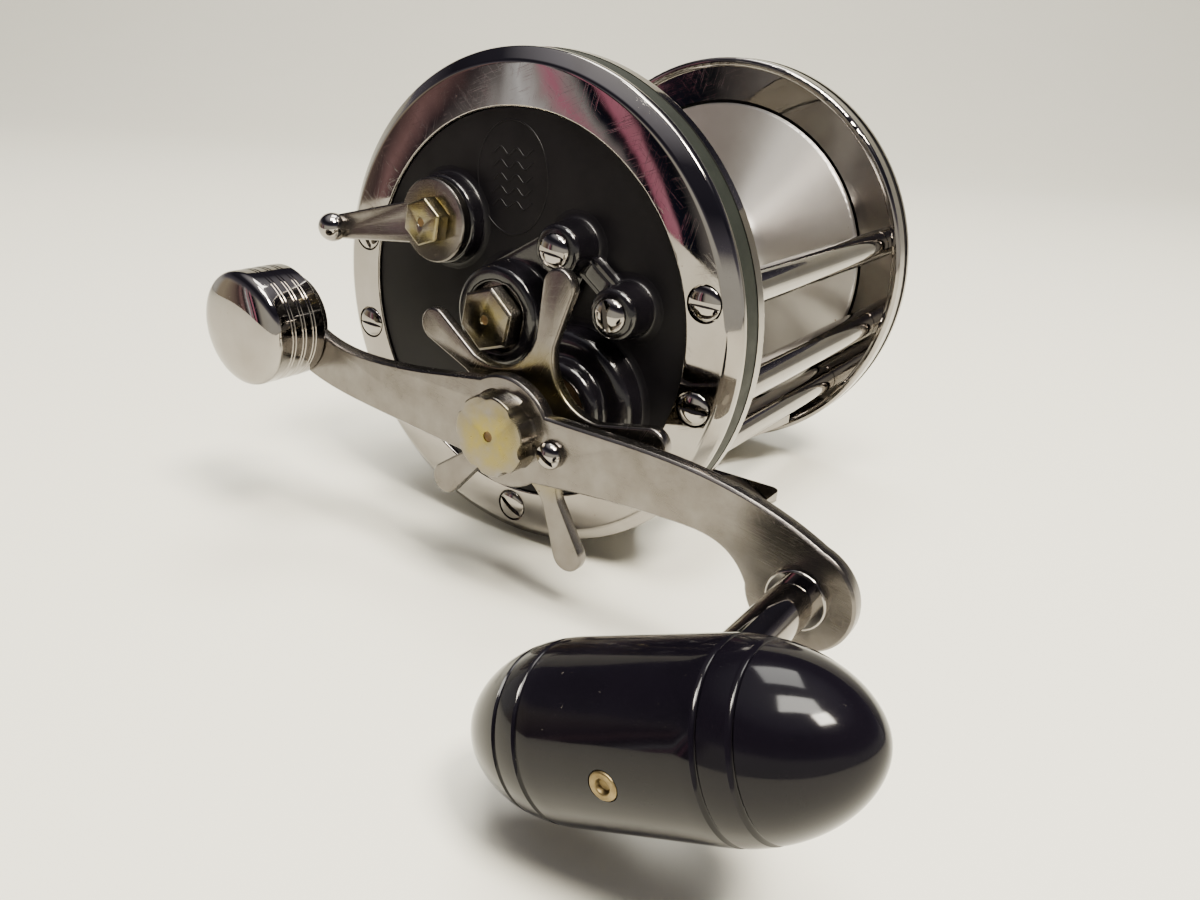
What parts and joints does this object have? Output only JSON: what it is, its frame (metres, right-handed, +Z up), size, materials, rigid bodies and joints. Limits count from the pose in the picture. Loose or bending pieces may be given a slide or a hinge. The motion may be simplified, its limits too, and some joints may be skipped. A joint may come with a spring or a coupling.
{
  "type": "trolling reel",
  "caption": "Conventional star-drag trolling reel: ringed side plates on pillars, metal spool, free-spool lever, counterweighted crank with a torpedo grip, and a rod foot.",
  "frame": {"origin": "centre of the rod foot's flat underside, midway between the two inner rings", "axes": "+X along the spool's axis towards the crank, +Y forwards to the rod's tip, +Z up from the rod"},
  "size_m": [0.2152, 0.1884, 0.1215],
  "materials": {
    "chrome_plate": "bright chrome plate on brass, worn and finely scratched",
    "satin_chrome": "satin chrome plate with polished edges",
    "black_phenolic": "moulded phenolic resin, dull flats and glossy housings",
    "turned_spool": "lathe-turned plated metal",
    "plain_steel": "plain stainless steel",
    "bronze_gear": "machined gear bronze",
    "fibre_washer": "woven friction fibre",
    "grip_black": "polished black moulded plastic",
    "old_brass": "tarnished brass"
  },
  "bodies": {
    "frame": {"handle_ring_outer": "chrome_plate", "handle_ring_inner": "chrome_plate", "tail_ring_inner": "chrome_plate", "tail_ring_outer": "chrome_plate", "handle_side_plate": "black_phenolic", "tail_side_plate": "black_phenolic", "pillars": "chrome_plate", "stand_saddle": "chrome_plate", "rod_foot": "chrome_plate", "foot_rivets": "old_brass", "handle_ring_screws": "chrome_plate", "tail_ring_screws": "chrome_plate", "handle_bearing_cap": "chrome_plate", "tail_bearing_cap": "chrome_plate", "handle_bearing": "plain_steel", "tail_bearing": "plain_steel", "housing_bushing": "bronze_gear", "bridge": "old_brass", "bridge_screws": "chrome_plate", "yoke_springs": "plain_steel", "click_spring": "plain_steel", "dog_stud": "plain_steel", "dog_spring": "plain_steel"},
    "spool": {"spool": "turned_spool", "spool_shaft": "plain_steel", "click_ratchet": "plain_steel"},
    "crank": {"crank_arm": "satin_chrome", "crank_nut": "satin_chrome", "nut_lock_screw": "chrome_plate", "counterweight": "chrome_plate", "grip_spindle": "chrome_plate", "grip_rivet": "old_brass", "drive_sleeve": "plain_steel", "spacer_sleeve": "chrome_plate", "main_gear": "bronze_gear", "anti_reverse_ratchet": "plain_steel", "fibre_drag_washers": "fibre_washer", "metal_drag_washers": "plain_steel", "drag_pressure_plate": "plain_steel", "drag_spring_washer": "plain_steel"},
    "star": {"star_wheel": "satin_chrome"},
    "grip": {"grip": "grip_black"},
    "lever": {"lever_arm": "satin_chrome", "lever_knob": "chrome_plate", "lever_screw": "satin_chrome", "eccentric_jack": "plain_steel"},
    "yoke": {"pinion_yoke": "old_brass"},
    "pinion": {"pinion": "plain_steel"},
    "click": {"click_button": "chrome_plate", "click_pawl": "plain_steel"},
    "dog": {"ratchet_dog": "plain_steel"}
  },
  "joints": [
    {"name": "crank_turn", "type": "hinge", "parent": "frame", "child": "crank", "pos_m": [0.06, 0.01937, 0.04356], "axis": [1, 0, 0], "continuous": true},
    {"name": "spool_spin", "type": "hinge", "parent": "frame", "child": "spool", "pos_m": [0, 0, 0.0615], "axis": [1, 0, 0], "continuous": true},
    {"name": "lever_turn", "type": "hinge", "parent": "frame", "child": "lever", "pos_m": [0.06, -0.0217, 0.0809], "axis": [1, 0, 0], "range_deg": [-90, 0]},
    {"name": "yoke_slide", "type": "slide", "parent": "frame", "child": "yoke", "axis": [1, 0, 0], "range_m": [0, 0.002], "deforming": ["yoke_springs"]},
    {"name": "pinion_spin", "type": "hinge", "parent": "yoke", "child": "pinion", "pos_m": [0.05, 0, 0.0615], "axis": [1, 0, 0], "continuous": true},
    {"name": "star_turn", "type": "hinge", "parent": "crank", "child": "star", "pos_m": [0.076, 0.01937, 0.04356], "axis": [1, 0, 0], "range_deg": [-180, 180]},
    {"name": "grip_spin", "type": "hinge", "parent": "crank", "child": "grip", "pos_m": [0.136, 0.09097, 0.02906], "axis": [1, 0, 0], "continuous": true},
    {"name": "click_slide", "type": "slide", "parent": "frame", "child": "click", "axis": [0, 0, -1], "range_m": [0, 0.004], "deforming": ["click_spring"]},
    {"name": "dog_swing", "type": "hinge", "parent": "frame", "child": "dog", "pos_m": [0.049, 0.03453, 0.05231], "axis": [1, 0, 0], "range_deg": [-8, 0], "stiffness_Nm_per_rad": 0.0004, "springref_deg": -8.02, "deforming": ["dog_spring"]}
  ],
  "couplings": [
    {"joint": "spool_spin", "follows": "crank_turn", "ratio": -2},
    {"joint": "pinion_spin", "follows": "crank_turn", "ratio": -2},
    {"joint": "yoke_slide", "follows": "lever_turn", "m_per_rad": -0.001273}
  ]
}
